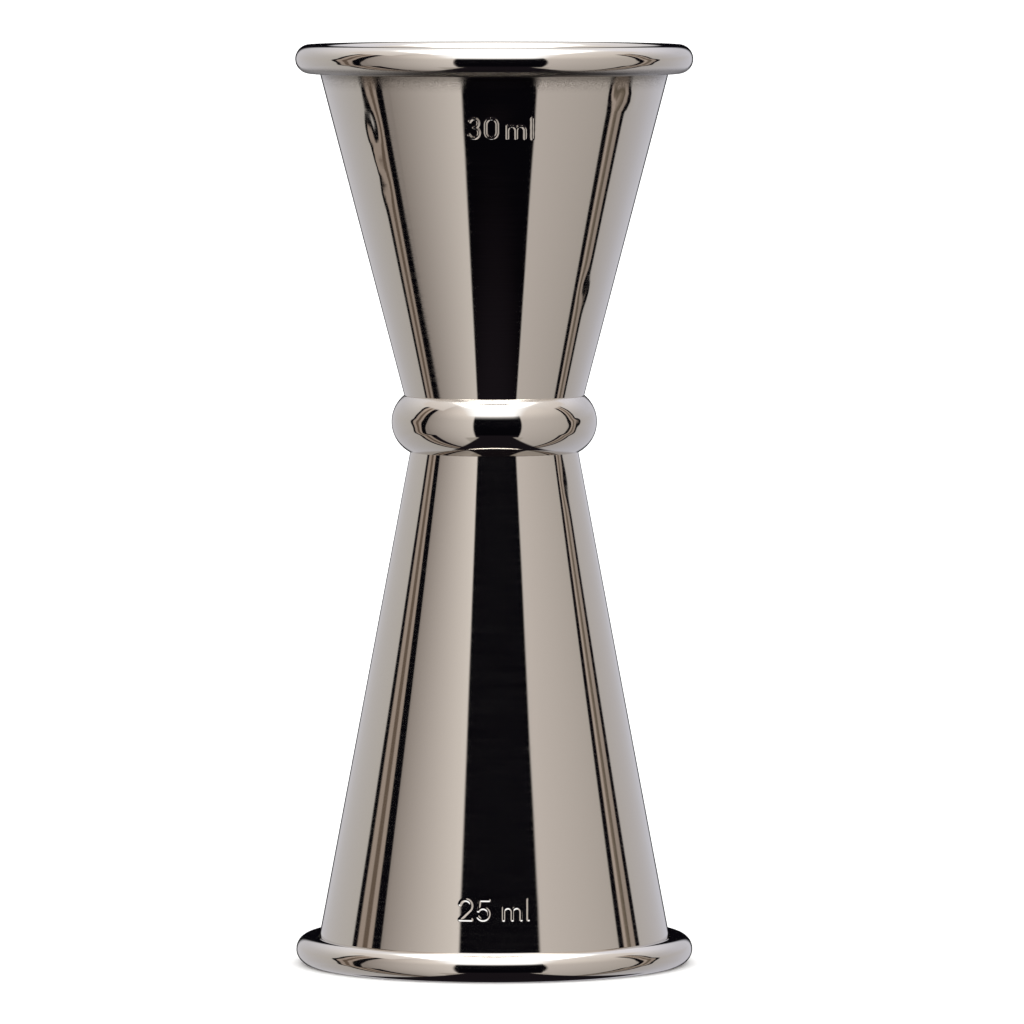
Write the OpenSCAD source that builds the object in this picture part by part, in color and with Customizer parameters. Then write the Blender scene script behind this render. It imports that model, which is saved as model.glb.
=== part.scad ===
// Double bar jigger: a short and a long conical cup, floor to floor, with a half-round
// ring round the waist. Millimetres, +Z up. The origin is at the centre of the plane that
// the long cup's rim stands on, and both capacity marks face -Y.

/* [Cups] */
// Outside diameter of both rolled rims
rim_d = 46.2; // [44:0.1:50]
// Height of the short cup, from the joint between the floors to its rim
short_h = 45; // [40:0.5:55]
// Height of the long cup, from the joint between the floors to its rim
long_h = 62; // [55:0.5:75]
// Diameter at which the two cones would meet at the joint
floor_d = 18.7; // [17.5:0.1:20]
// Thickness of the sheet
sheet_t = 1; // [0.8:0.05:1.2]
// Outside diameter of the rolled rims
bead_d = 3.4; // [3.2:0.1:4]
// Width of the flat that is lapped on each rim
land_w = 0.8; // [0.4:0.1:1.4]
// Inside radius of the bend between a floor and its wall
bend_r = 0.6; // [0.4:0.1:1]
// Gap between the cut end of a rolled rim and the wall
curl_gap = 0.1; // [0.05:0.05:0.3]

/* [Waist ring] */
// Largest diameter of the ring
ring_d = 23.9; // [23.4:0.1:26]
// Radius of the half-round outside of the ring
ring_arc_r = 4; // [3.6:0.1:4.2]
// Thickness of the ring's sheet
ring_t = 0.8; // [0.5:0.05:1]
// Height of the ring's middle above the joint
ring_rise = 1.2; // [0.5:0.1:1.5]

/* [Joints] */
// Number of spot welds between the floors
weld_count = 3; // [1:1:6]
// Diameter of a weld nugget
weld_d = 3; // [2:0.1:3.5]
// Thickness of a weld nugget
weld_t = 0.8; // [0.4:0.1:1.2]
// Diameter of the circle that the welds lie on
weld_circle_d = 8.5; // [7.5:0.1:9.5]
// Height of the braze behind each lip of the ring
braze_h = 0.8; // [0.4:0.1:1.2]

/* [Marks] */
// Height of the figures
mark_h = 2.65; // [2:0.05:3]
// Width of a figure
figure_w = 1.75; // [1.6:0.05:1.9]
// Width of the letter m
em_w = 2.45; // [2.2:0.05:2.6]
// Width of a stroke
stroke_w = 0.42; // [0.3:0.02:0.5]
// Depth of a stroke
mark_depth = 0.15; // [0.05:0.05:0.3]
// Foot of the short cup's mark, above the base
short_mark_z = 96.4; // [85:0.1:99]
// Foot of the long cup's mark, above the base
long_mark_z = 6.8; // [6:0.1:30]
// Volume at the line scribed inside the long cup, in millilitres
line_ml = 25; // [20:1:35]
// Width of the scribed line
line_w = 0.3; // [0.2:0.05:0.5]
// Depth of the scribed line
line_depth = 0.12; // [0.05:0.01:0.2]

/* [Hidden] */
$fn = 180;
STEEL = "silver";
BRAZE = "khaki";

bead_r = bead_d / 2;
bead_in_r = bead_r - sheet_t;
floor_r = floor_d / 2;
bend_out_r = bend_r + sheet_t;
curl_open = acos((bead_in_r - curl_gap) / bead_r);
// A straight stretch crosses the arcs that it joins at a small angle, so it strays from their
// tangents by this much
blend = 0.01;
function lap(r_in, r_out) = sqrt((r_in + r_out) * blend);
function lap_angle(r_in, r_out) = acos(1 - 2 * blend / (r_in + r_out));
// Straight strokes of the marks run this far into the curved ones
stroke_lap = 0.02;
figure_gap = 0.28;
letter_gap = 0.4;
short_mark_space = 0.75;
long_mark_space = 1.25;
short_mark_x = 0.7;
long_mark_x = 0;
x_height = 0.68 * mark_h;

// A cup stands on its floor's outer face, at height 0, and opens upwards.
// Its wall leans out at the angle at which the sheet's inner face runs into the rim's curl.
bead_x = rim_d / 2 - bead_r;
land_drop = sqrt(pow(bead_r, 2) - pow(land_w / 2, 2));
function bead_at(cup_h) = [bead_x, cup_h - land_drop];
function lean(cup_h) =
    let (run = bead_at(cup_h) - [floor_r, 0])
    atan2(run[0], run[1]) - asin(bead_in_r / norm(run));
function bend_at(cup_h) =
    [floor_r - bend_out_r * (1 - sin(lean(cup_h))) / cos(lean(cup_h)), bend_out_r - blend];
function wall_r(cup_h, z) = floor_r + z * tan(lean(cup_h));

// Height above the inner face of the floor at which the cone inside a cup holds a volume
function inner_r(cup_h, z) = wall_r(cup_h, z) - sheet_t / cos(lean(cup_h));
function fill_height(cup_h, volume) =
    let (k = tan(lean(cup_h)), r = inner_r(cup_h, sheet_t))
    (pow(3 * k * volume / PI + pow(r, 3), 1 / 3) - r) / k;
line_z = sheet_t + fill_height(long_h, line_ml * 1000);

// Part of a flat ring, counter-clockwise between two angles
module arc_band(centre, r_in, r_out, from, to) {
    rest = 360 - (to - from);
    reach = 2.5 * r_out;
    translate(centre)
    difference() {
        circle(r_out);
        circle(r_in);
        rotate(to)
        polygon(concat([[0, 0]], [for (i = [0:3]) reach * [cos(i * rest / 3), sin(i * rest / 3)]]));
    }
}

module cup_section(cup_h) {
    lean = lean(cup_h);
    out = [cos(lean), -sin(lean)];
    up = [sin(lean), cos(lean)];
    bend = bend_at(cup_h);
    bead = bead_at(cup_h);
    bend_up = lap(bend_r, bend_out_r) * up;
    bead_up = lap(bead_in_r, bead_r) * up;
    bend_turn = lap_angle(bend_r, bend_out_r);
    bead_turn = lap_angle(bead_in_r, bead_r);
    intersection() {
        square([rim_d, cup_h]);
        union() {
            square([bend[0] + lap(bend_r, bend_out_r), sheet_t]);
            arc_band(bend, bend_r, bend_out_r, -90 - bend_turn, bend_turn - lean);
            polygon([bend + (bend_r - blend) * out - bend_up,
                     bend + (bend_out_r - blend) * out - bend_up,
                     bead - (bead_in_r - blend) * out + bead_up,
                     bead - (bead_r - blend) * out + bead_up]);
            arc_band(bead, bead_in_r, bead_r, curl_open - 180 - lean, 180 - lean + bead_turn);
        }
    }
}

// Everything inside the outer face of a cup's wall, as a section
module cone_section(cup_h) {
    polygon([[0, 0], [floor_r, 0], [wall_r(cup_h, cup_h), cup_h], [0, cup_h]]);
}

module long_side() {
    translate([0, 0, long_h])
    mirror([0, 0, 1])
    children();
}

module short_side() {
    translate([0, 0, long_h])
    children();
}

// Strokes of the marks, drawn with the left end of the foot line at the origin
module bar(a, b) {
    run = b - a;
    translate(a)
    rotate(atan2(run[1], run[0]))
    translate([-stroke_lap, -stroke_w / 2])
    square([norm(run) + 2 * stroke_lap, stroke_w]);
}

module arc(centre, r, from, to) {
    arc_band(centre, r - stroke_w / 2, r + stroke_w / 2, from, to);
}

module figure_0() {
    r = (figure_w - stroke_w) / 2;
    x = figure_w / 2;
    low = stroke_w / 2 + r;
    high = mark_h - low;
    arc([x, high], r, 0, 180);
    arc([x, low], r, 180, 360);
    for (side = [-1, 1])
        bar([x + side * r, low], [x + side * r, high]);
}

module figure_2() {
    half = stroke_w / 2;
    r = figure_w / 2 - half;
    top = [figure_w / 2, mark_h - half - r];
    run = top - [half, half];
    turn = atan2(run[1], run[0]) - asin(r / norm(run)) - 90;
    arc(top, r, turn, 165);
    bar([half, half], top + r * [cos(turn), sin(turn)]);
    bar([0, half], [figure_w, half]);
}

module figure_3() {
    half = stroke_w / 2;
    low_r = 0.27 * (mark_h - stroke_w);
    high_r = (mark_h - stroke_w) / 2 - low_r;
    arc([figure_w / 2, mark_h - half - high_r], high_r, -90, 155);
    arc([figure_w / 2, half + low_r], low_r, -155, 90);
}

module figure_5() {
    half = stroke_w / 2;
    r = figure_w / 2 - half;
    left = 0.25 * figure_w;
    bowl = [figure_w / 2 - 0.02, half + r];
    bar([left, mark_h - half], [figure_w, mark_h - half]);
    bar([left, mark_h], [left - 0.12, bowl[1] + 0.55 * r]);
    arc(bowl, r, -150, 140);
}

module letter_m() {
    half = stroke_w / 2;
    r = (em_w - stroke_w) / 4;
    shoulder = x_height - half - r;
    bar([half, 0], [half, x_height]);
    for (i = [0:1]) {
        x = half + r + 2 * r * i;
        arc([x, shoulder], r, 0, 180);
        bar([x + r, 0], [x + r, shoulder]);
    }
}

module letter_l() {
    bar([stroke_w / 2, 0], [stroke_w / 2, mark_h]);
}

// Two figures, a space and "ml", centred on x = 0
module mark(space) {
    second_x = figure_w + figure_gap;
    em_x = second_x + figure_w + space;
    el_x = em_x + em_w + letter_gap;
    translate([-(el_x + stroke_w) / 2, 0]) {
        children(0);
        translate([second_x, 0]) children(1);
        translate([em_x, 0]) letter_m();
        translate([el_x, 0]) letter_l();
    }
}

// The part of the second child, a layer of a wall, that lies behind the first, a flat mark
module sunk(x, z) {
    intersection() {
        translate([x, 0, z])
        rotate([90, 0, 0])
        linear_extrude(rim_d)
        children(0);
        children(1);
    }
}

// The layer of a cup's wall that a mark is cut out of, between two heights above the joint
module skin(cup_h, low, high) {
    proud = 1;
    rotate_extrude()
    polygon([[wall_r(cup_h, low) - mark_depth, low], [wall_r(cup_h, low) + proud, low],
             [wall_r(cup_h, high) + proud, high], [wall_r(cup_h, high) - mark_depth, high]]);
}

// Spot welds, half in each floor
module floor_spot_welds() {
    r = (pow(weld_d / 2, 2) + pow(weld_t / 2, 2)) / weld_t;
    color(STEEL)
    for (i = [0:weld_count - 1])
        translate([0, 0, long_h])
        rotate(90 + i * 360 / weld_count)
        translate([weld_circle_d / 2, 0, 0])
        rotate_extrude()
        intersection() {
            translate([0, weld_t / 2 - r]) circle(r);
            translate([0, r - weld_t / 2]) circle(r);
            translate([0, -weld_t]) square([weld_d, 2 * weld_t]);
        }
}

module upper_cup() {
    z = short_mark_z - long_h;
    color(STEEL)
    difference() {
        short_side() rotate_extrude() cup_section(short_h);
        floor_spot_welds();
        sunk(short_mark_x, short_mark_z) {
            mark(short_mark_space) { figure_3(); figure_0(); }
            short_side() skin(short_h, z - 1, z + mark_h + 1);
        }
    }
}

module lower_cup() {
    z = long_h - long_mark_z;
    color(STEEL)
    difference() {
        long_side()
        rotate_extrude()
        difference() {
            cup_section(long_h);
            polygon([[0, line_z - line_w / 2],
                     [inner_r(long_h, line_z), line_z - line_w / 2],
                     [inner_r(long_h, line_z) + line_depth, line_z],
                     [inner_r(long_h, line_z), line_z + line_w / 2],
                     [0, line_z + line_w / 2]]);
        }
        floor_spot_welds();
        sunk(long_mark_x, long_mark_z) {
            mark(long_mark_space) { figure_2(); figure_5(); }
            long_side() skin(long_h, z - mark_h - 1, z + 1);
        }
    }
}

// Centre of the ring's half-round section, above the joint
ring_arc_at = [ring_d / 2 - ring_arc_r, ring_rise];

module cups_section() {
    cone_section(short_h);
    mirror([0, 1]) cone_section(long_h);
}

module waist_ring() {
    color(STEEL)
    short_side()
    rotate_extrude()
    difference() {
        translate(ring_arc_at) circle(ring_arc_r);
        translate(ring_arc_at) circle(ring_arc_r - ring_t);
        cups_section();
    }
}

// Height above the joint at which the inside of the ring meets a cone. up is 1 or -1.
function lip_z(cup_h, up) =
    let (k = up * tan(lean(cup_h)), a = floor_r - ring_arc_at[0], r = ring_arc_r - ring_t,
         b = k * a - ring_rise, c = a * a + ring_rise * ring_rise - r * r)
    (-b + up * sqrt(b * b - (1 + k * k) * c)) / (1 + k * k);

// Fillet of braze in the corner between the inside of the ring and a cone
module braze(cup_h, up) {
    edge = lip_z(cup_h, up);
    short_side()
    rotate_extrude()
    intersection() {
        difference() {
            translate(ring_arc_at) circle(ring_arc_r - ring_t);
            cups_section();
        }
        translate([floor_r, up > 0 ? edge - braze_h : edge - ring_arc_r])
        square([ring_arc_r, up > 0 ? ring_arc_r : ring_arc_r + braze_h]);
    }
}

module upper_ring_braze() {
    color(BRAZE) braze(short_h, 1);
}

module lower_ring_braze() {
    color(BRAZE) braze(long_h, -1);
}

upper_cup();
lower_cup();
waist_ring();
floor_spot_welds();
upper_ring_braze();
lower_ring_braze();
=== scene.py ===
"""Looks of the double bar jigger: turned cups and ring, struck marks, polished steel and a light tent.

Lengths are in metres and angles in degrees. A turned part is a closed outline of (radius, height)
points, swept round the vertical axis, with heights counted from the joint between the two floors.
The marks face -Y.
"""
import math

import bpy
import numpy as np
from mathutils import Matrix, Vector


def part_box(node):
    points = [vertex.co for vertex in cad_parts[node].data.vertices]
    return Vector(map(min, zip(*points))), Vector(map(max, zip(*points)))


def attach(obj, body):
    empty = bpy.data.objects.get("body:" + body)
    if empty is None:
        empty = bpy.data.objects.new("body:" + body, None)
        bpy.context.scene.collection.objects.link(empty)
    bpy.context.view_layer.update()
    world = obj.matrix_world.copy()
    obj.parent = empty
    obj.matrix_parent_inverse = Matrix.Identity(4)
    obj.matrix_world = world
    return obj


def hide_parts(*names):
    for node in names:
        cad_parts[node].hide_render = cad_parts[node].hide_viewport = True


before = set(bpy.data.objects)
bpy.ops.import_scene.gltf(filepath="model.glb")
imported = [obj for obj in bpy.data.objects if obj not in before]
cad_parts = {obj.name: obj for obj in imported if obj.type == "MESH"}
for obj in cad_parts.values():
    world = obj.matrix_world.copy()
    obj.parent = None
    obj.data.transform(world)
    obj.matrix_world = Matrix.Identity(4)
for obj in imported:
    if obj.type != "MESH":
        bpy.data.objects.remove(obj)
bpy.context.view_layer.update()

MM = 0.001
ML = 1e-6

# Sizes that the frame gives
JOINT_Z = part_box("upper_cup")[0].z
TOP_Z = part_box("upper_cup")[1].z
RIM_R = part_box("upper_cup")[1].x
RING_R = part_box("waist_ring")[1].x

# Sizes that are inside the parts. A land is the flat that a rim stands on, a curl gap is between the sheet's
# cut edge and the wall, and a seam is the bevel along a lip of the ring. LINE is the scribed fill line
FLOOR_R = 9.35 * MM
SHEET = 1.0 * MM
BEAD_R = 1.7 * MM
LAND = 0.8 * MM
BEND_R = 0.6 * MM
CURL_GAP = 0.1 * MM
RING_ARC = 4.0 * MM
RING_SHEET = 0.8 * MM
RING_RISE = 1.2 * MM
SEAM = 0.14 * MM
LINE_ML = 25
LINE_W = 0.3 * MM
LINE_DEPTH = 0.12 * MM

# Marks. FLAT_SHARE is how much of a stroke's half width is its flat bottom
MARK_H = 2.65 * MM
FIGURE_W = 1.75 * MM
EM_W = 2.45 * MM
STROKE = 0.42 * MM
HALF = STROKE / 2
X_HEIGHT = 0.68 * MARK_H
FIGURE_GAP = 0.28 * MM
LETTER_GAP = 0.4 * MM
FLAT_SHARE = 0.25

# Angles where arcs of the figures end, and the shares and lengths that shape the 3 and the 5
TWO_TIP = 165
THREE_TIP = 155
THREE_LOW_BOWL = 0.27
FIVE_TIPS = (-150, 140)
FIVE_CORNER = 0.25 * FIGURE_W
FIVE_LEAN = 0.12 * MM
FIVE_STEM_FOOT = 0.55
FIVE_SHIFT = 0.02 * MM

# The faint dent that striking leaves round a whole mark: its depth, and its half sizes over the mark's
DENT_DEPTH = 0.012 * MM
DENT_W = 0.45
DENT_H = 0.8

# Slight dents and bulges: azimuth, height, half width, half height and depth
SHORT_DENTS = [
    (-49, 97.5 * MM, 0.9 * MM, 2.2 * MM, 0.07 * MM),
    (-51, 93.5 * MM, 0.7 * MM, 1.5 * MM, -0.05 * MM),
    (-48, 90.5 * MM, 0.6 * MM, 1.2 * MM, 0.03 * MM),
    (47, 101.8 * MM, 1.0 * MM, 1.0 * MM, 0.08 * MM),
    (55, 100.7 * MM, 0.7 * MM, 1.0 * MM, -0.06 * MM),
    (50, 79 * MM, 0.7 * MM, 1.3 * MM, 0.04 * MM),
]
LONG_DENTS = [
    (53, 56.3 * MM, 0.6 * MM, 1.6 * MM, 0.025 * MM),
]
RING_DENTS = [
    (-38, JOINT_Z + 4.1 * MM, 0.7 * MM, 0.35 * MM, 0.03 * MM),
    (-47, JOINT_Z + 3.4 * MM, 0.6 * MM, 0.3 * MM, -0.02 * MM),
    (50, JOINT_Z + 3.9 * MM, 0.8 * MM, 0.4 * MM, 0.03 * MM),
    (54, JOINT_Z + 1.5 * MM, 0.5 * MM, 0.5 * MM, 0.02 * MM),
]

# Fineness of the meshes: steps in metres or degrees, numbers of rows, and margins. EASE is the length of the
# short rows at the ends of a straight stretch, and ON_FACE is how near a point on a face has to be to it
MARK_STEP = 0.055 * MM
MARK_ABOVE = 0.5 * MM
MARK_BESIDE = 0.6 * MM
MARK_REACH = 3 * MARK_H
TURN_STEP = 1.5
BEND_STEP = 6.5
CURL_STEP = 12
RING_STEP = 3
WALL_ROWS = 44
FLOOR_ROWS = 3
INSIDE_ROWS = 12
ABOVE_LINE_ROWS = 5
BELOW_LINE_ROWS = 8
EASE = 0.1 * MM
MOST_EASE = 0.2
OFF_LIP = 0.002
ON_FACE = 0.01 * MM


# ---------------------------------------------------------------- strokes of the marks
def direction(angle):
    """Unit vector at an angle from the first axis."""
    return np.array([math.cos(math.radians(angle)), math.sin(math.radians(angle))])


def bar(start, end):
    """A straight stroke."""
    return ("bar", np.array(start), np.array(end))


def arc(centre, radius, start, end):
    """A stroke along a circle, anticlockwise from one angle to another."""
    return ("arc", np.array(centre), radius, start, end)


def figure_0():
    r = FIGURE_W / 2 - HALF
    x = FIGURE_W / 2
    low = HALF + r
    high = MARK_H - low
    sides = [bar([x + side * r, low], [x + side * r, high]) for side in (-1, 1)]
    return [arc([x, high], r, 0, 180), arc([x, low], r, 180, 360)] + sides


def figure_2():
    r = FIGURE_W / 2 - HALF
    top = np.array([FIGURE_W / 2, MARK_H - HALF - r])
    run = top - HALF
    turn = math.degrees(math.atan2(run[1], run[0]) - math.asin(r / np.linalg.norm(run))) - 90
    foot = np.array([HALF, HALF])
    return [arc(top, r, turn, TWO_TIP), bar(foot, top + r * direction(turn)),
            bar(foot, [FIGURE_W - HALF, HALF])]


def figure_3():
    low_r = THREE_LOW_BOWL * (MARK_H - STROKE)
    high_r = (MARK_H - STROKE) / 2 - low_r
    x = FIGURE_W / 2
    return [arc([x, MARK_H - HALF - high_r], high_r, -90, THREE_TIP),
            arc([x, HALF + low_r], low_r, -THREE_TIP, 90)]


def figure_5():
    r = FIGURE_W / 2 - HALF
    corner = [FIVE_CORNER, MARK_H - HALF]
    bowl = [FIGURE_W / 2 - FIVE_SHIFT, HALF + r]
    return [bar(corner, [FIGURE_W - HALF, MARK_H - HALF]),
            bar(corner, [corner[0] - FIVE_LEAN, bowl[1] + FIVE_STEM_FOOT * r]),
            arc(bowl, r, *FIVE_TIPS)]


def letter_m():
    r = (EM_W - STROKE) / 4
    shoulder = X_HEIGHT - HALF - r
    strokes = [bar([HALF, HALF], [HALF, X_HEIGHT - HALF])]
    for i in range(2):
        x = HALF + r + 2 * r * i
        strokes += [arc([x, shoulder], r, 0, 180), bar([x + r, HALF], [x + r, shoulder])]
    return strokes


def letter_l():
    return [bar([HALF, HALF], [HALF, MARK_H - HALF])]


class Mark:
    """Two figures, a space and "ml", in the plane y = 0, with its middle at x and its foot at z."""

    def __init__(self, figures, space, x, z, deepest):
        em = 2 * FIGURE_W + FIGURE_GAP + space
        el = em + EM_W + LETTER_GAP
        starts = (0, FIGURE_W + FIGURE_GAP, em, el)
        self.x, self.z, self.width, self.deepest = x, z, el + STROKE, deepest
        self.glyphs = list(zip(figures + [letter_m(), letter_l()], starts))

    def depth(self, x, z):
        """How deep the mark is struck at each point, with a faint dent round the whole of it."""
        left = self.x - self.width / 2
        nearest = np.full(x.shape, self.width)
        for strokes, start in self.glyphs:
            for stroke in strokes:
                nearest = np.minimum(nearest, stroke_distance(stroke, x - left - start, z - self.z))
        bank = np.clip((nearest / HALF - FLAT_SHARE) / (1 - FLAT_SHARE), 0, 1)
        groove = self.deepest * (0.5 + 0.5 * np.cos(math.pi * bank))
        across = (x - self.x) / (DENT_W * self.width)
        along = (z - self.z - MARK_H / 2) / (DENT_H * MARK_H)
        return groove + DENT_DEPTH * np.exp(-across ** 2 - along ** 2)


def stroke_distance(stroke, x, y):
    """Distance of each point from a stroke's centre line."""
    if stroke[0] == "bar":
        _, start, end = stroke
        run = end - start
        share = np.clip(((x - start[0]) * run[0] + (y - start[1]) * run[1]) / (run @ run), 0, 1)
        return np.hypot(x - start[0] - share * run[0], y - start[1] - share * run[1])
    _, centre, radius, start, end = stroke
    dx, dy = x - centre[0], y - centre[1]
    turn = (np.degrees(np.arctan2(dy, dx)) - start) % 360
    tips = [radius * direction(angle) for angle in (start, end)]
    to_tip = np.minimum(*[np.hypot(dx - tip[0], dy - tip[1]) for tip in tips])
    return np.where(turn <= end - start, np.abs(np.hypot(dx, dy) - radius), to_tip)


# ---------------------------------------------------------------- outlines of the turned parts
class Outline:
    """Points of a closed outline, and which of them are sharp corners."""

    def __init__(self):
        self.points, self.sharp = [], set()

    def corner(self, point):
        self.sharp.add(len(self.points))
        self.points.append(np.array(point, float))

    def line(self, start, end, steps, fine=None):
        """A straight stretch without its end. The first and last steps are short, so that its shading
        stays flat up to the curves it joins. fine gives two shares of its length that small steps lie
        between."""
        length = np.linalg.norm(end - start)
        ease = min(EASE / length, MOST_EASE)
        shares = list(np.linspace(ease, 1 - ease, steps + 1))
        if fine:
            small = max(1, round((fine[1] - fine[0]) * length / MARK_STEP))
            shares = [s for s in shares if not fine[0] <= s <= fine[1]]
            shares = sorted(shares + list(np.linspace(fine[0], fine[1], small + 1)))
        self.points += [start + (end - start) * share for share in [0] + shares]

    def curve(self, centre, radius, start, end, step=BEND_STEP):
        """An arc with both of its ends."""
        steps = max(2, math.ceil(abs(end - start) / step))
        self.points += [centre + radius * direction(angle) for angle in np.linspace(start, end, steps + 1)]


class Cup:
    """A cup whose floor has its outer face at height 0, and that opens upwards (up = 1) or downwards
    (up = -1)."""

    def __init__(self, height, up, mark, dents, line_ml=None):
        self.up, self.mark, self.dents = up, mark, dents
        self.bead = np.array([RIM_R - BEAD_R, height - math.sqrt(BEAD_R ** 2 - (LAND / 2) ** 2)])
        run = self.bead - np.array([FLOOR_R, 0])
        self.curl_r = BEAD_R - SHEET
        self.lean = math.degrees(math.atan2(run[0], run[1]) - math.asin(self.curl_r / np.linalg.norm(run)))
        self.slope = math.tan(math.radians(self.lean))
        self.out = direction(-self.lean)
        bend_x = FLOOR_R - (BEND_R + SHEET) * (1 + self.out[1]) / self.out[0]
        self.bend = np.array([bend_x, BEND_R + SHEET])
        self.line_at = line_ml and self.fill_height(line_ml * ML)

    def frame_z(self, height):
        return JOINT_Z + self.up * height

    def wall_height(self, z):
        return (z - JOINT_Z) * self.up

    def outer_r(self, height):
        return FLOOR_R + height * self.slope

    def inner_r(self, height):
        return self.outer_r(height) - SHEET / self.out[0]

    def fill_height(self, volume):
        """Height that a volume fills the cone to."""
        low = self.inner_r(SHEET)
        return SHEET + ((3 * self.slope * volume / math.pi + low ** 3) ** (1 / 3) - low) / self.slope

    def outline(self):
        opening = math.degrees(math.acos((self.curl_r - CURL_GAP) / BEAD_R))
        wall_foot = self.bend + self.out * (BEND_R + SHEET)
        wall_top = self.bead - self.out * self.curl_r
        ends = sorted(self.wall_height(self.mark.z + dz) for dz in (-MARK_ABOVE, MARK_H + MARK_ABOVE))
        fine = [(end - wall_foot[1]) / (wall_top[1] - wall_foot[1]) for end in ends]
        curl_start = 180 - self.lean
        curl_end = opening - 180 - self.lean
        half_land = math.degrees(math.asin(LAND / 2 / BEAD_R))
        inner_top = self.bead - self.out * BEAD_R
        inner_foot = self.bend + self.out * BEND_R

        shape = Outline()
        shape.points.append(np.zeros(2))
        shape.line(np.array([EASE, 0]), np.array([self.bend[0], 0]), FLOOR_ROWS)
        shape.curve(self.bend, BEND_R + SHEET, -90, -self.lean)
        shape.line(wall_foot, wall_top, WALL_ROWS, fine)
        shape.curve(self.bead, self.curl_r, curl_start, curl_end, CURL_STEP)
        shape.sharp.update({len(shape.points) - 1, len(shape.points)})
        shape.curve(self.bead, BEAD_R, curl_end, 90 - half_land)
        shape.sharp.update({len(shape.points) - 1, len(shape.points)})
        shape.curve(self.bead, BEAD_R, 90 + half_land, curl_start)
        if self.line_at:
            lips = [np.array([self.inner_r(self.line_at + dz), self.line_at + dz])
                    for dz in (LINE_W / 2, -LINE_W / 2)]
            shape.line(inner_top, lips[0], ABOVE_LINE_ROWS)
            shape.corner(lips[0])
            shape.corner([self.inner_r(self.line_at) + LINE_DEPTH, self.line_at])
            shape.corner(lips[1])
            shape.line(lips[1] + (inner_foot - lips[1]) * OFF_LIP, inner_foot, BELOW_LINE_ROWS)
        else:
            shape.line(inner_top, inner_foot, INSIDE_ROWS)
        shape.curve(self.bend, BEND_R, -self.lean, -90)
        shape.line(np.array([self.bend[0] - EASE, SHEET]), np.array([EASE, SHEET]), FLOOR_ROWS)
        shape.points.append(np.array([0, SHEET]))
        return shape

    def columns(self):
        """Angles round the axis, counted from -Y, with small steps across the mark."""
        r = self.outer_r(self.wall_height(self.mark.z + MARK_H / 2))
        step = math.degrees(MARK_STEP / r)
        middle = math.degrees(self.mark.x / r)
        reach = math.degrees(math.asin((self.mark.width / 2 + MARK_BESIDE) / r))
        fine = np.linspace(middle - reach, middle + reach, round(2 * reach / step))
        rest = np.linspace(fine[-1], fine[0] + 360, round((360 - 2 * reach) / TURN_STEP))
        return np.concatenate([fine, rest[1:-1]])

    def strike(self, points):
        """Moves the points of the wall's outer face to where the mark and the dents press them."""
        radius = np.hypot(points[:, 0], points[:, 1])
        height = self.wall_height(points[:, 2])
        off_wall = np.abs(radius - self.outer_r(height)) > ON_FACE
        off_mark = np.abs(points[:, 2] - self.mark.z - MARK_H / 2) > MARK_REACH
        depth = self.mark.depth(points[:, 0], points[:, 2])
        depth[off_mark | (points[:, 1] > 0)] = 0
        depth += dent_depth(points, self.dents)
        depth[off_wall] = 0
        points[:, :2] -= points[:, :2] * (self.out[0] * depth / np.maximum(radius, EASE))[:, None]
        points[:, 2] -= self.up * self.out[1] * depth


def dent_depth(points, dents):
    """How deep the listed dents are at each point."""
    radius = np.hypot(points[:, 0], points[:, 1])
    azimuth = np.arctan2(points[:, 0], -points[:, 1])
    depth = np.zeros(len(points))
    for middle, z, half_width, half_height, deepest in dents:
        across = (azimuth - math.radians(middle)) * radius / half_width
        depth += deepest * np.exp(-across ** 2 - ((points[:, 2] - z) / half_height) ** 2)
    return depth


def dent_ring(points):
    """Moves the points of the ring's outer face to where its dents press them."""
    radius = np.hypot(points[:, 0], points[:, 1])
    from_arc = np.hypot(radius - RING_R + RING_ARC, points[:, 2] - JOINT_Z - RING_RISE)
    depth = np.where(from_arc > RING_ARC - ON_FACE, dent_depth(points, RING_DENTS), 0)
    points[:, :2] -= points[:, :2] * (depth / radius)[:, None]


def ring_outline(short, long):
    """The half-round ring's section, whose lips are cut to the two cones."""
    centre = np.array([RING_R - RING_ARC, RING_RISE])
    inside = RING_ARC - RING_SHEET

    def lip_angle(radius, cup):
        """Angle at which a circle about the ring's centre meets a cone."""
        k = cup.up * cup.slope
        a = FLOOR_R - centre[0]
        b = k * a - centre[1]
        c = a ** 2 + centre[1] ** 2 - radius ** 2
        height = (-b + cup.up * math.sqrt(b * b - (1 + k * k) * c)) / (1 + k * k)
        return math.degrees(math.atan2(height - centre[1], a + k * height))

    bevel = math.degrees(SEAM / RING_ARC)
    shape = Outline()
    for radius, start, end, trim in ((RING_ARC, long, short, bevel), (inside, short, long, 0)):
        shape.sharp.add(len(shape.points))
        first, last = lip_angle(radius, start) + trim, lip_angle(radius, end) - trim
        shape.curve(centre, radius, first, last, RING_STEP)
        shape.sharp.add(len(shape.points) - 1)
        if trim:
            shape.corner(centre + (RING_ARC - SEAM) * direction(lip_angle(RING_ARC - SEAM, end)))
    shape.corner(centre + (RING_ARC - SEAM) * direction(lip_angle(RING_ARC - SEAM, long)))
    return shape


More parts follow.
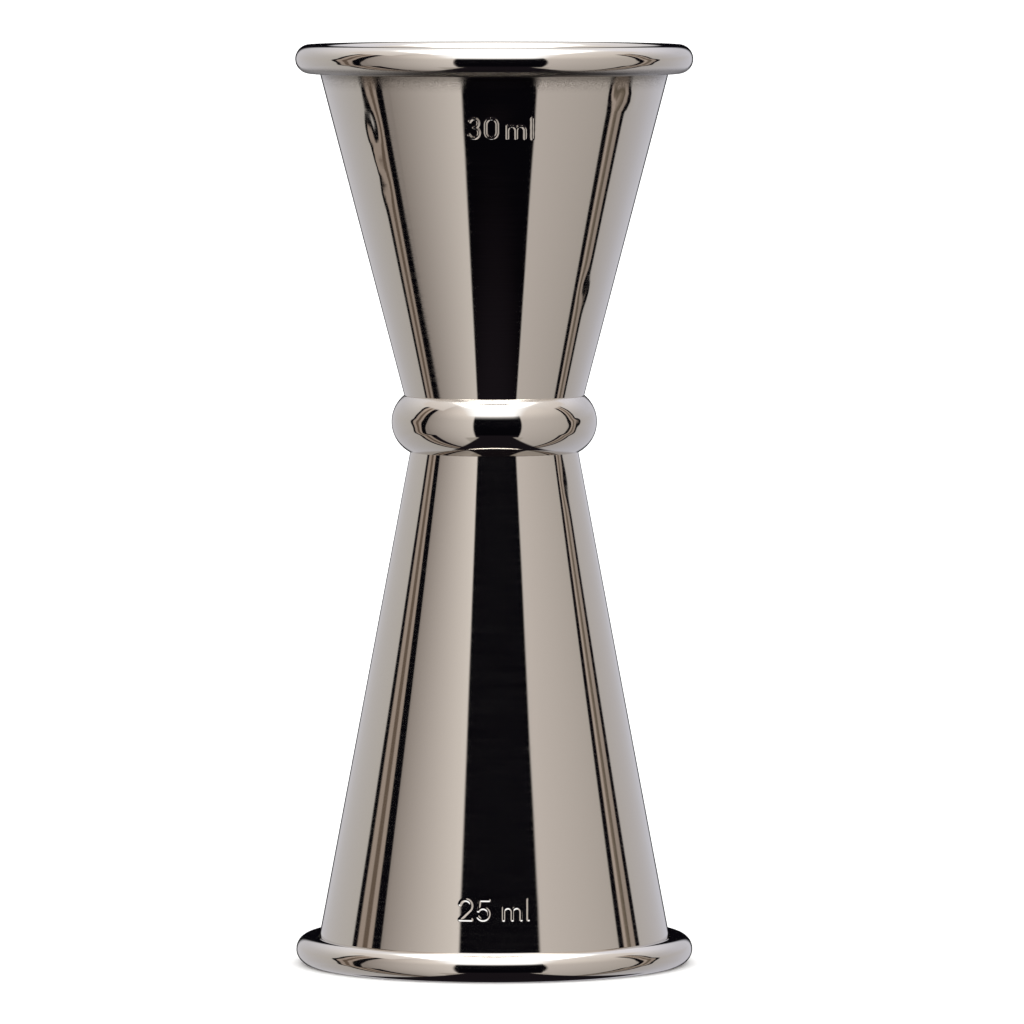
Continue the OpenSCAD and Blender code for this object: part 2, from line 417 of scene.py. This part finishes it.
# ---------------------------------------------------------------- meshes
def turned_piece(name, shape, columns, frame_z, strike):
    """Sweeps a closed outline round the axis, and presses its marks and dents into it. A point on the axis
    is one vertex, with triangles round it."""
    angles = np.radians(columns)
    rows, blocks, first = [], [], 0
    for radius, height in shape.points:
        used = angles if radius > 0 else angles[:1]
        z = np.full(len(used), frame_z(height))
        blocks.append(np.column_stack([radius * np.sin(used), -radius * np.cos(used), z]))
        rows.append(np.arange(first, first + len(used)))
        first += len(used)
    points = np.concatenate(blocks)
    strike(points)
    faces = []
    for low, high in zip(rows, rows[1:] + rows[:1]):
        for i in range(len(angles)):
            j = (i + 1) % len(angles)
            corners = [low[i % len(low)], low[j % len(low)], high[j % len(high)], high[i % len(high)]]
            corners = [int(c) for c in dict.fromkeys(corners)]
            if len(corners) > 2:
                faces.append(corners)
    mesh = bpy.data.meshes.new(name)
    mesh.from_pydata(points.tolist(), [], faces)
    mesh.shade_smooth()
    if frame_z(1) < frame_z(0):
        mesh.flip_normals()
    row_of = np.concatenate([np.full(len(row), i) for i, row in enumerate(rows)])
    for edge in mesh.edges:
        low, high = (int(row_of[v]) for v in edge.vertices)
        edge.use_edge_sharp = low == high and low in shape.sharp
    piece = bpy.data.objects.new(name, mesh)
    bpy.context.scene.collection.objects.link(piece)
    return piece


# ---------------------------------------------------------------- shader nodes
def node(tree, kind, **settings):
    """Adds a node and sets its properties."""
    made = tree.nodes.new(kind)
    for name, value in settings.items():
        setattr(made, name, value)
    return made


def feed(tree, made, **inputs):
    """Sets a node's inputs to a number, a colour or another node's output. An input goes by its name, with
    _ for a space, or by i and its number."""
    for name, value in inputs.items():
        numbered = name[0] == "i" and name[1:].isdigit()
        socket = made.inputs[int(name[1:]) if numbered else name.replace("_", " ")]
        if isinstance(value, bpy.types.NodeSocket):
            tree.links.new(value, socket)
        else:
            socket.default_value = value
    return made


def calc(tree, operation, *values):
    made = node(tree, "ShaderNodeMath", operation=operation)
    feed(tree, made, **{f"i{i}": value for i, value in enumerate(values)})
    return made.outputs[0]


def both(tree, first, second):
    return calc(tree, "MULTIPLY", first, second)


def rise(tree, value, low, high):
    """0 at low, 1 at high, smooth between and steady beyond. Low may be the greater of the two."""
    made = node(tree, "ShaderNodeMapRange", interpolation_type="SMOOTHSTEP")
    if low < high:
        feed(tree, made, Value=value, From_Min=low, From_Max=high)
        return made.outputs[0]
    feed(tree, made, Value=value, From_Min=high, From_Max=low, To_Min=1.0, To_Max=0.0)
    return made.outputs[0]


def mix_colour(tree, share, first, second):
    """A colour mix. The Mix node's colours are its inputs 6 and 7, and its output 2."""
    made = node(tree, "ShaderNodeMix", data_type="RGBA")
    feed(tree, made, i0=share, i6=first, i7=second)
    return made.outputs[2]


def scaled(tree, vector, factor):
    made = node(tree, "ShaderNodeVectorMath", operation="SCALE")
    feed(tree, made, i0=vector, Scale=factor)
    return made.outputs[0]


def object_place(tree):
    """The x, y and z of a point, in metres."""
    place = node(tree, "ShaderNodeSeparateXYZ")
    feed(tree, place, Vector=node(tree, "ShaderNodeTexCoord").outputs["Object"])
    return place.outputs


# ---------------------------------------------------------------- light
# Shares of red, green and blue light that the steel mirrors
STEEL = (0.66, 0.625, 0.585)


def lit(red, green, blue):
    """Light that a mirror of this steel shows as the given sRGB colour, from 0 to 255."""
    shares = [value / 255 for value in (red, green, blue)]
    linear = [((c + 0.055) / 1.055) ** 2.4 if c > 0.04 else c / 12.92 for c in shares]
    return tuple(c / mirrored for c, mirrored in zip(linear, STEEL)) + (1.0,)


DARK = lit(6, 5, 8)
DUSK = lit(22, 18, 21)
CARD = lit(166, 157, 149)
CREAM = lit(232, 225, 218)
GROUND = lit(154, 145, 135)
LAMP = (1.6, 1.66, 1.72, 1.0)
OVERHEAD_LAMP = (9.0, 8.9, 8.7, 1.0)
WHITE = (1, 1, 1, 1)
WHITE_STRENGTH = 1.5

# Borders of the tent's parts. Each pair runs from where a part is absent to where it is full. A turn is an
# angle from the front, from 0 to 180 degrees, and a height is an elevation
GAPS_FRONT_TURN = (72, 74)
GAPS_BACK_TURN = (126, 122)
CLOTH_CLOSES_HEIGHT = (38, 43)
HAZE_HEIGHT = (-30.4, -32.4)
OPEN_TURN = (163, 170)
OPEN_HEIGHT = (-22, -12)
GROUND_TURN = (40, 35)
GROUND_HEIGHT = (-36.5, -38.5)
SHADOW_HEIGHT = (-35.5, -37.0)
ROOF_TURN = (164, 158)
ROOF_HEIGHT = (42, 80)
BACK_TURN = (156, 162)
BACK_HEIGHT = (22, 50)
GLOW_HEIGHT = (14, 34)
LAMP_HEIGHT = (30, 33)
OVERHEAD_HEIGHT = (56, 72)

# The painted shadow's borders on the ground, to a side and beyond the object, over the height they are seen
# from
SHADOW_LEFT = (-0.46, -0.41)
SHADOW_RIGHT = (0.57, 0.5)
SHADOW_END = (3.5, 1.5)
LEAST_DROP = 0.02

# The lamp's borders are parts of a unit direction
LAMP_LEFT = (-0.5, -0.3)
LAMP_RIGHT = (0.52, 0.32)
LAMP_END = (0.5, 0.3)
GLOW_POWER = 3.0

# The sides brighten with each degree of height, and more near the lamp
GAIN_PER_DEGREE = 1.003
NEAR_LAMP_HEIGHT = (14, 46)
NEAR_LAMP_GAIN = 0.36


class Side:
    """One side of the tent. rows lists its panels from the middle of the front to the back: the turn where
    each starts, and its colours there and where it ends. A gap from start to end holds some of them, and
    its hems are at other turns at other elevations: hems lists elevations with the gap's start and end
    there, which its panels are stretched between."""

    def __init__(self, start, end, rows, hems):
        self.start, self.end, self.rows, self.hems = start, end, rows, hems


LEFT = Side(80, 112, [
    (0, DARK, DARK),
    (23.5, lit(199, 189, 179), lit(136, 126, 118)),
    (80, DARK, DARK),
    (90, lit(145, 130, 118), lit(145, 130, 118)),
    (95, lit(91, 77, 65), lit(91, 77, 65)),
    (100.5, lit(145, 130, 118), lit(145, 130, 118)),
    (106.5, DARK, DARK),
    (112, lit(169, 162, 154), lit(175, 170, 169)),
], [
    (-27.3, 71, 100), (-23.5, 88, 101), (-18.4, 85, 108), (-10, 84, 104), (-3, 82.5, 106),
    (3, 81, 109.5), (6.5, 80.6, 108.5), (11, 80.6, 104), (30, 80, 104),
])
RIGHT = Side(91, 117.5, [
    (0, DARK, DARK),
    (31, lit(182, 172, 163), lit(163, 154, 145)),
    (91, DARK, DARK),
    (98, lit(158, 143, 131), lit(158, 143, 131)),
    (102, lit(110, 97, 84), lit(84, 74, 62)),
    (107, lit(142, 128, 117), lit(142, 128, 117)),
    (112.5, DARK, DARK),
    (117.5, lit(167, 160, 154), lit(176, 172, 174)),
], [
    (-27, 83.4, 102), (-23.3, 89.5, 105), (-18.4, 90, 109), (-10, 92, 107), (-3, 92.5, 109),
    (3, 90.5, 113), (6.5, 90, 112), (11, 90.5, 105), (30, 91, 106),
])

# Half the width of the blur between two panels
FEATHER = 0.7


def ramp_of(tree, value, low, high, stops, kind="LINEAR"):
    """A colour ramp over a range of a value. Each stop is a place in the range and a colour."""
    ramp = node(tree, "ShaderNodeValToRGB")
    feed(tree, ramp, Fac=calc(tree, "DIVIDE", calc(tree, "SUBTRACT", value, low), high - low))
    ramp.color_ramp.interpolation = kind
    elements = ramp.color_ramp.elements
    elements.remove(elements[1])
    elements[0].position = (stops[0][0] - low) / (high - low)
    elements[0].color = stops[0][1]
    for place, colour in stops[1:]:
        elements.new((place - low) / (high - low)).color = colour
    return ramp.outputs[0]


def panels(tree, turn, elevation, side):
    """Colour of one side of the tent at a turn and an elevation. The turn is first moved to where the
    list of panels has it: unchanged up to the gap, and from there stretched by the hems at that elevation.
    The hems are in a colour ramp, as the red and green of its stops."""
    stops = [(place, (start / 180, end / 180, 0, 1)) for place, start, end in side.hems]
    hems = node(tree, "ShaderNodeSeparateXYZ")
    feed(tree, hems, Vector=ramp_of(tree, elevation, -90, 90, stops, "B_SPLINE"))
    start = calc(tree, "MULTIPLY", hems.outputs[0], 180.0)
    end = calc(tree, "MULTIPLY", hems.outputs[1], 180.0)
    past = calc(tree, "DIVIDE", calc(tree, "SUBTRACT", turn, start), calc(tree, "SUBTRACT", end, start))
    edge = side.start - FEATHER
    before = calc(tree, "MAXIMUM", calc(tree, "MINIMUM", turn, edge),
                  calc(tree, "MULTIPLY", calc(tree, "GREATER_THAN", past, 0.0), edge))
    inside = calc(tree, "MULTIPLY", calc(tree, "MAXIMUM", past, 0.0), side.end - edge)
    listed = calc(tree, "MINIMUM", calc(tree, "ADD", before, inside), 180.0)
    colours = [(0.0, side.rows[0][1])]
    for (_, _, last), (place, first, _) in zip(side.rows, side.rows[1:]):
        colours += [(place - FEATHER, last), (place + FEATHER, first)]
    colours.append((180.0, side.rows[-1][2]))
    return ramp_of(tree, listed, 0, 180, colours)


def light_tent():
    """White light for the floor and the background, and a tent that only the metal mirrors."""
    world = bpy.data.worlds.new("light_tent")
    bpy.context.scene.world = world
    world.use_nodes = True
    tree = world.node_tree
    tree.nodes.clear()
    way = node(tree, "ShaderNodeSeparateXYZ")
    feed(tree, way, Vector=node(tree, "ShaderNodeTexCoord").outputs["Generated"])
    x, y, z = way.outputs
    azimuth = calc(tree, "DEGREES", calc(tree, "ARCTAN2", x, calc(tree, "MULTIPLY", y, -1.0)))
    elevation = calc(tree, "DEGREES", calc(tree, "ARCSINE", z))
    turn = calc(tree, "ABSOLUTE", azimuth)
    on_right = calc(tree, "GREATER_THAN", azimuth, 0.0)
    left = panels(tree, turn, elevation, LEFT)
    right = panels(tree, turn, elevation, RIGHT)
    sides = mix_colour(tree, on_right, left, right)

    # The gaps between the panels end overhead, where the cloth closes
    among_gaps = both(tree, rise(tree, turn, *GAPS_FRONT_TURN), rise(tree, turn, *GAPS_BACK_TURN))
    closed = both(tree, among_gaps, rise(tree, elevation, *CLOTH_CLOSES_HEIGHT))
    sides = mix_colour(tree, closed, sides, CARD)
    gain = calc(tree, "MULTIPLY", rise(tree, elevation, *NEAR_LAMP_HEIGHT), NEAR_LAMP_GAIN)
    gain = both(tree, calc(tree, "ADD", gain, 1.0), calc(tree, "POWER", GAIN_PER_DEGREE, elevation))
    sides = scaled(tree, sides, gain)

    # Near the ground the dark gaps catch a little light
    hazy = node(tree, "ShaderNodeVectorMath", operation="MAXIMUM")
    feed(tree, hazy, i0=sides, i1=scaled(tree, DUSK[:3], rise(tree, elevation, *HAZE_HEIGHT)))
    sides = hazy.outputs[0]

    # Right behind the object the tent is open, and dark
    behind = both(tree, rise(tree, turn, *OPEN_TURN), rise(tree, elevation, *OPEN_HEIGHT))
    sides = mix_colour(tree, behind, sides, DARK)

    # The dark gap in front ends at the ground
    in_front = both(tree, rise(tree, turn, *GROUND_TURN), rise(tree, elevation, *GROUND_HEIGHT))
    sides = mix_colour(tree, in_front, sides, GROUND)

    # Painted shadow: a dark path on the ground, from there to under the object, stands for the shade under
    # the object as the metal mirrors it
    drop = calc(tree, "MAXIMUM", calc(tree, "MULTIPLY", z, -1.0), LEAST_DROP)
    aside = calc(tree, "DIVIDE", x, drop)
    beyond = calc(tree, "DIVIDE", y, drop)
    across = both(tree, rise(tree, aside, *SHADOW_LEFT), rise(tree, aside, *SHADOW_RIGHT))
    shadow_path = both(tree, across, rise(tree, beyond, *SHADOW_END))
    sides = mix_colour(tree, both(tree, shadow_path, rise(tree, elevation, *SHADOW_HEIGHT)), sides, DUSK)

    # Overhead the cloth is lit from above, and behind the object that light reaches lower
    roof = both(tree, rise(tree, elevation, *ROOF_HEIGHT), rise(tree, turn, *ROOF_TURN))
    back = both(tree, rise(tree, elevation, *BACK_HEIGHT), rise(tree, turn, *BACK_TURN))
    tent = mix_colour(tree, calc(tree, "MAXIMUM", roof, back), sides, CREAM)

    # The lamp is a long box overhead. Its near end hangs in front, above the camera, over its own glow
    under_lamp = both(tree, rise(tree, x, *LAMP_LEFT), rise(tree, x, *LAMP_RIGHT))
    ahead = both(tree, under_lamp, rise(tree, y, *LAMP_END))
    glow = both(tree, ahead, calc(tree, "POWER", rise(tree, elevation, *GLOW_HEIGHT), GLOW_POWER))
    tent = mix_colour(tree, glow, tent, CREAM)
    tent = mix_colour(tree, both(tree, ahead, rise(tree, elevation, *LAMP_HEIGHT)), tent, LAMP)
    overhead = both(tree, ahead, rise(tree, elevation, *OVERHEAD_HEIGHT))
    tent = mix_colour(tree, overhead, tent, OVERHEAD_LAMP)

    white = node(tree, "ShaderNodeBackground")
    feed(tree, white, Color=WHITE, Strength=WHITE_STRENGTH)
    shown = node(tree, "ShaderNodeBackground")
    feed(tree, shown, Color=tent, Strength=1.0)
    mirrored = node(tree, "ShaderNodeLightPath").outputs["Is Glossy Ray"]
    choice = node(tree, "ShaderNodeMixShader")
    feed(tree, choice, i0=mirrored, i1=white.outputs[0], i2=shown.outputs[0])
    feed(tree, node(tree, "ShaderNodeOutputWorld"), Surface=choice.outputs[0])


FLOOR_SIZE = 9.0
FLOOR_SIDES = 96
FLOOR_WHITE = (0.95, 0.95, 0.95, 1)


def floor():
    """A plain white floor, which the metal doesn't mirror."""
    bpy.ops.mesh.primitive_circle_add(vertices=FLOOR_SIDES, radius=FLOOR_SIZE, fill_type="NGON")
    ground = bpy.context.object
    ground.name = "floor"
    ground.visible_glossy = False
    material = bpy.data.materials.new("floor_white")
    material.use_nodes = True
    shader = material.node_tree.nodes["Principled BSDF"]
    feed(material.node_tree, shader, Base_Color=FLOOR_WHITE, Roughness=1.0)
    shader.inputs["Specular IOR Level"].default_value = 0
    ground.data.materials.append(material)


def camera():
    """A long lens from a little above, square to the marks."""
    distance = 1.1854
    look_down = math.radians(3.65)
    target = Vector((2.06 * MM, 0, 52.65 * MM))
    data = bpy.data.cameras.new("camera")
    data.sensor_width = 36
    data.lens = 358.1
    eye = bpy.data.objects.new("camera", data)
    eye.location = target + distance * Vector((0, -math.cos(look_down), math.sin(look_down)))
    eye.rotation_euler = (math.radians(90) - look_down, 0, 0)
    bpy.context.scene.collection.objects.link(eye)
    bpy.context.scene.camera = eye


# ---------------------------------------------------------------- metals
# Borders of the finishes, and of a painted shade in the crease under the top rim, each from where one is
# absent to where it is full. The first two are depths inside the rim's greatest radius, and the others are
# depths below its top
OUTER_FACE = (3.75 * MM, 3.5 * MM)
BEAD_FACE = (2.75 * MM, 2.4 * MM)
GRAIN_TOP = (2.4 * MM, 2.9 * MM)
GRAIN_FOOT = (5.4 * MM, 3.6 * MM)
CREASE_SHADE_FOOT = (4.3 * MM, 3.5 * MM)
GRAIN_SIZE = 0.09 * MM
PIT_RANGE = (0.44, 0.57)
PIT_AND_SHADE_COLOUR = (0.24, 0.22, 0.2, 1.0)
# How far the crease just under the top rim is darkened: painted shade, where the bead shades the wall
CREASE_SHADE_SHARE = 0.75
UNREACHED_ROUGHNESS = 0.28

# Heights between which the ring's polish fades
RING_EDGE = (JOINT_Z + 3.2 * MM, JOINT_Z + 4.6 * MM)
RING_EDGE_ROUGHNESS = 0.16

# Values of the noise at which streaks are smoothest and roughest
STREAK_RANGE = (0.35, 0.75)


def metal(name, colour, roughness):
    """A metal, with its node tree and shader."""
    material = bpy.data.materials.new(name)
    material.use_nodes = True
    tree = material.node_tree
    shader = tree.nodes["Principled BSDF"]
    feed(tree, shader, Base_Color=(*colour, 1.0), Metallic=1.0, Roughness=roughness)
    return material, tree, shader


def stretched_noise(tree, around, along, detail):
    """Noise with features of one size round the axis and another along it, in metres."""
    placed = node(tree, "ShaderNodeMapping")
    feed(tree, placed, Vector=node(tree, "ShaderNodeTexCoord").outputs["Object"],
         Scale=(1 / around, 1 / around, 1 / along))
    noise = node(tree, "ShaderNodeTexNoise")
    feed(tree, noise, Vector=placed.outputs[0], Scale=1.0, Detail=detail)
    return noise.outputs[0]


def bump(tree, height, distance, below=None):
    """Normals of a height map, on top of the normals below."""
    made = node(tree, "ShaderNodeBump")
    feed(tree, made, Height=height, Distance=distance)
    if below:
        feed(tree, made, Normal=below)
    return made.outputs[0]


def streaked_roughness(tree, around, along, smoothest, roughest, more, share):
    """Roughness in streaks round the axis, and more of it where share is above 0."""
    made = node(tree, "ShaderNodeMapRange")
    low, high = STREAK_RANGE
    feed(tree, made, Value=stretched_noise(tree, around, along, detail=4.0), From_Min=low, From_Max=high,
         To_Min=smoothest, To_Max=roughest)
    return calc(tree, "ADD", made.outputs[0], calc(tree, "MULTIPLY", share, more))


def polished_steel():
    """Bright steel: slow waves from the spinning, faint polishing lines and a grain left under the top
    rim, where the polishing wheel didn't reach, and painted shade that darkens the crease just under the
    rim."""
    material, tree, shader = metal("polished_steel", STEEL, roughness=0.04)
    slow_waves = stretched_noise(tree, around=11 * MM, along=18 * MM, detail=1.0)
    fine_lines = stretched_noise(tree, around=8 * MM, along=0.09 * MM, detail=3.0)
    waves = bump(tree, slow_waves, distance=0.02 * MM)
    lines = bump(tree, fine_lines, distance=0.0004 * MM, below=waves)
    x, y, z = object_place(tree)
    radius = calc(tree, "SQRT", calc(tree, "ADD", both(tree, x, x), both(tree, y, y)))

    def at_depths(value, top, depths):
        return rise(tree, value, top - depths[0], top - depths[1])

    under_rim = both(tree, at_depths(z, TOP_Z, GRAIN_TOP), at_depths(radius, RIM_R, OUTER_FACE))
    band = both(tree, at_depths(z, TOP_Z, GRAIN_FOOT), under_rim)
    # Painted shade: the crease just under the rim is darkened in the base colour, where the bead shades the
    # wall
    crease_shade = both(tree, at_depths(z, TOP_Z, CREASE_SHADE_FOOT), under_rim)
    specks = stretched_noise(tree, around=GRAIN_SIZE, along=GRAIN_SIZE, detail=3.0)
    grain = bump(tree, both(tree, specks, band), distance=0.004 * MM, below=lines)
    feed(tree, shader, Normal=grain)
    pits = both(tree, band, rise(tree, specks, *PIT_RANGE))
    # The base colour darkens at the pits, which are real, and in the crease, which is painted shade
    pits_and_crease_shade = calc(tree, "MAXIMUM", pits, calc(tree, "MULTIPLY", crease_shade, CREASE_SHADE_SHARE))
    feed(tree, shader, Base_Color=mix_colour(tree, pits_and_crease_shade, (*STEEL, 1.0), PIT_AND_SHADE_COLOUR))
    unreached = both(tree, band, at_depths(radius, RIM_R, BEAD_FACE))
    roughness = streaked_roughness(tree, around=6 * MM, along=0.3 * MM, smoothest=0.03, roughest=0.07,
                                   more=UNREACHED_ROUGHNESS, share=unreached)
    feed(tree, shader, Roughness=roughness)
    return material


def ring_steel():
    """The ring's steel has the same shine, but less of it along its upper edge."""
    material, tree, shader = metal("ring_steel", STEEL, roughness=0.04)
    slow_waves = stretched_noise(tree, around=6 * MM, along=6 * MM, detail=1.0)
    fine_lines = stretched_noise(tree, around=6 * MM, along=0.07 * MM, detail=3.0)
    waves = bump(tree, slow_waves, distance=0.006 * MM)
    feed(tree, shader, Normal=bump(tree, fine_lines, distance=0.0003 * MM, below=waves))
    edge = rise(tree, object_place(tree)[2], *RING_EDGE)
    roughness = streaked_roughness(tree, around=4 * MM, along=0.2 * MM, smoothest=0.03, roughest=0.06,
                                   more=RING_EDGE_ROUGHNESS, share=edge)
    feed(tree, shader, Roughness=roughness)
    return material


def weld_steel():
    """Steel that has melted and set: satin, with a fine scale."""
    material, tree, shader = metal("weld_steel", (0.42, 0.4, 0.38), roughness=0.38)
    scale = stretched_noise(tree, around=0.25 * MM, along=0.25 * MM, detail=4.0)
    feed(tree, shader, Normal=bump(tree, scale, distance=0.02 * MM))
    return material


def braze_metal():
    """Brass filler that has flowed round a joint."""
    material, tree, shader = metal("braze", (0.71, 0.5, 0.24), roughness=0.3)
    ripples = stretched_noise(tree, around=0.8 * MM, along=0.3 * MM, detail=3.0)
    feed(tree, shader, Normal=bump(tree, ripples, distance=0.04 * MM))
    return material


def dress_node(name, material):
    """Puts a material on a CAD node through its slots, and leaves its mesh as it is."""
    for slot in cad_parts[name].material_slots:
        slot.link = "OBJECT"
        slot.material = material


# ---------------------------------------------------------------- the object
def show(piece, node_name, material):
    """Dresses a piece and lets it stand in for its CAD node."""
    piece.data.materials.append(material)
    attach(piece, "root")
    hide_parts(node_name)


short_mark = Mark([figure_3(), figure_0()], space=0.75 * MM, x=0.7 * MM, z=96.4 * MM, deepest=0.08 * MM)
long_mark = Mark([figure_2(), figure_5()], space=1.25 * MM, x=0.0, z=6.8 * MM, deepest=0.05 * MM)
short_cup = Cup(TOP_Z - JOINT_Z, up=1, mark=short_mark, dents=SHORT_DENTS)
long_cup = Cup(JOINT_Z, up=-1, mark=long_mark, dents=LONG_DENTS, line_ml=LINE_ML)

camera()
floor()
light_tent()

steel = polished_steel()
for name, cup in (("upper_cup", short_cup), ("lower_cup", long_cup)):
    shell = turned_piece(name + "_steel", cup.outline(), cup.columns(), cup.frame_z, cup.strike)
    show(shell, name, steel)
ring = turned_piece("waist_ring_steel", ring_outline(short_cup, long_cup), np.arange(0, 360, TURN_STEP),
                    short_cup.frame_z, dent_ring)
show(ring, "waist_ring", ring_steel())

dress_node("floor_spot_welds", weld_steel())
braze = braze_metal()
dress_node("upper_ring_braze", braze)
dress_node("lower_ring_braze", braze)

bpy.context.scene.view_settings.view_transform = "Standard"
